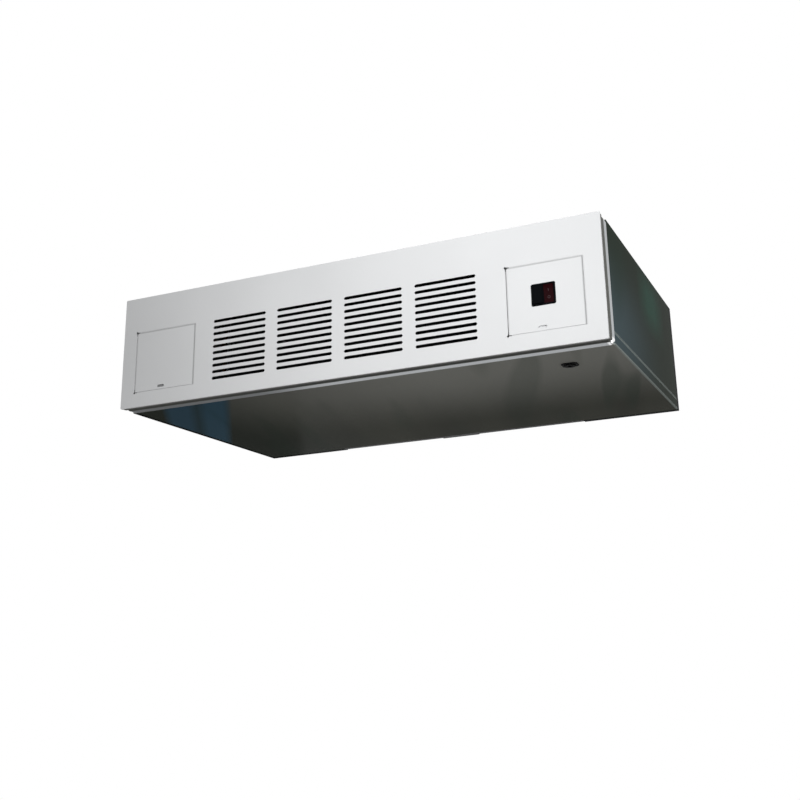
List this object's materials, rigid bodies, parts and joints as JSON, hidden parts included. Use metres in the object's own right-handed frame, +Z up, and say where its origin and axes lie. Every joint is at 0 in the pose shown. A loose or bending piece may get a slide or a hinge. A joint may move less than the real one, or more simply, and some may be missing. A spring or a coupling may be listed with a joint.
{
  "type": "ceiling fan coil unit",
  "caption": "Exposed ceiling fan coil unit: louvred front with hinged access doors, rocker switch, water coil, blowers on a common shaft and a slide-out filter.",
  "frame": {"origin": "centre of the hanging slots, on the top face of the hanger channels, which is the underside of the top panel", "axes": "+X to the right along the width seen from the front, +Y from the front to the rear, +Z up"},
  "size_m": [1.09, 0.6354, 0.256],
  "materials": {
    "front_enamel": "satin white-silver baked enamel on steel sheet",
    "dark_collar": "matt dark paint in the shadow line",
    "bright_band": "bright rolled aluminium trim",
    "dark_gloss_steel": "glossy dark olive-grey enamel on steel sheet",
    "galvanised_steel": "zinc-coated sheet with a faint spangle",
    "spring_steel": "plain bright steel",
    "magnet_black": "moulded magnet strip",
    "black_rubber": "moulded black rubber",
    "dark_moulding": "moulded black nylon",
    "grey_moulding": "moulded grey plastic",
    "red_rocker": "translucent dark red polycarbonate",
    "brass_fitting": "machined brass",
    "grey_foam": "closed-cell foam sheet",
    "fin_aluminium": "mill-finish aluminium",
    "copper_tube": "drawn copper tube",
    "motor_enamel": "black stoved motor enamel",
    "filter_mesh": "woven nylon filter cloth"
  },
  "bodies": {
    "case": {"front_panel": "front_enamel", "reveal_collar": "dark_collar", "edge_frame": "bright_band", "top_panel": "dark_gloss_steel", "bottom_panel": "dark_gloss_steel", "side_panel_left": "dark_gloss_steel", "side_panel_right": "dark_gloss_steel", "rear_panel": "galvanised_steel", "hanger_channel_front": "galvanised_steel", "hanger_channel_rear": "galvanised_steel", "bulkhead_left": "galvanised_steel", "bulkhead_right": "galvanised_steel", "fan_deck": "galvanised_steel", "coil_end_plates": "galvanised_steel", "blower_housing_left": "galvanised_steel", "blower_housing_right": "galvanised_steel", "motor_cradle": "galvanised_steel", "motor_clamps": "galvanised_steel", "capacitor_clip": "galvanised_steel", "panel_clips": "spring_steel", "hinge_brackets": "galvanised_steel", "hinge_pins": "spring_steel", "door_catches": "galvanised_steel", "catch_magnets": "magnet_black", "hanger_isolators": "black_rubber", "motor_rubber_rings": "black_rubber", "cable_gland": "black_rubber", "top_insulation": "grey_foam", "pan_insulation": "grey_foam", "drain_pan": "galvanised_steel", "coil_fins": "fin_aluminium", "coil_tubes": "copper_tube", "return_bends": "copper_tube", "supply_header": "copper_tube", "return_header": "copper_tube", "supply_union": "brass_fitting", "return_union": "brass_fitting", "air_vent": "brass_fitting", "motor_body": "motor_enamel", "motor_bushes": "brass_fitting", "filter_rails": "galvanised_steel", "terminal_box": "galvanised_steel", "terminal_box_lid": "galvanised_steel", "terminal_strip": "grey_moulding", "run_capacitor": "fin_aluminium", "rear_screws": "spring_steel", "top_screws": "spring_steel"},
    "left_door": {"left_door": "front_enamel", "left_finger_pull": "dark_moulding"},
    "right_door": {"right_door": "front_enamel", "right_finger_pull": "grey_moulding", "switch_housing": "dark_moulding", "switch_tabs": "brass_fitting"},
    "speed_rocker": {"speed_rocker": "dark_moulding"},
    "power_rocker": {"power_rocker": "red_rocker"},
    "fan_rotor": {"fan_shaft": "spring_steel", "impeller_left": "fin_aluminium", "impeller_right": "fin_aluminium"},
    "filter": {"filter_frame": "dark_moulding", "filter_media": "filter_mesh"}
  },
  "joints": [
    {"name": "left_door_hinge", "type": "hinge", "parent": "case", "child": "left_door", "pos_m": [-0.5052, -0.311, -0.1483], "axis": [0, 0, -1], "range_deg": [0, 100]},
    {"name": "right_door_hinge", "type": "hinge", "parent": "case", "child": "right_door", "pos_m": [0.3583, -0.311, -0.1483], "axis": [0, 0, -1], "range_deg": [0, 100]},
    {"name": "speed_rocker_pivot", "type": "hinge", "parent": "right_door", "child": "speed_rocker", "pos_m": [0.4158, -0.3115, -0.1443], "axis": [1, 0, 0], "range_deg": [-8, 8]},
    {"name": "power_rocker_pivot", "type": "hinge", "parent": "right_door", "child": "power_rocker", "pos_m": [0.4372, -0.3115, -0.1443], "axis": [1, 0, 0], "range_deg": [-16, 0]},
    {"name": "fan_spin", "type": "hinge", "parent": "case", "child": "fan_rotor", "pos_m": [0, 0.0472, -0.134], "axis": [1, 0, 0], "continuous": true},
    {"name": "filter_slide", "type": "slide", "parent": "case", "child": "filter", "axis": [0, 0, -1], "range_m": [0, 0.22]}
  ]
}
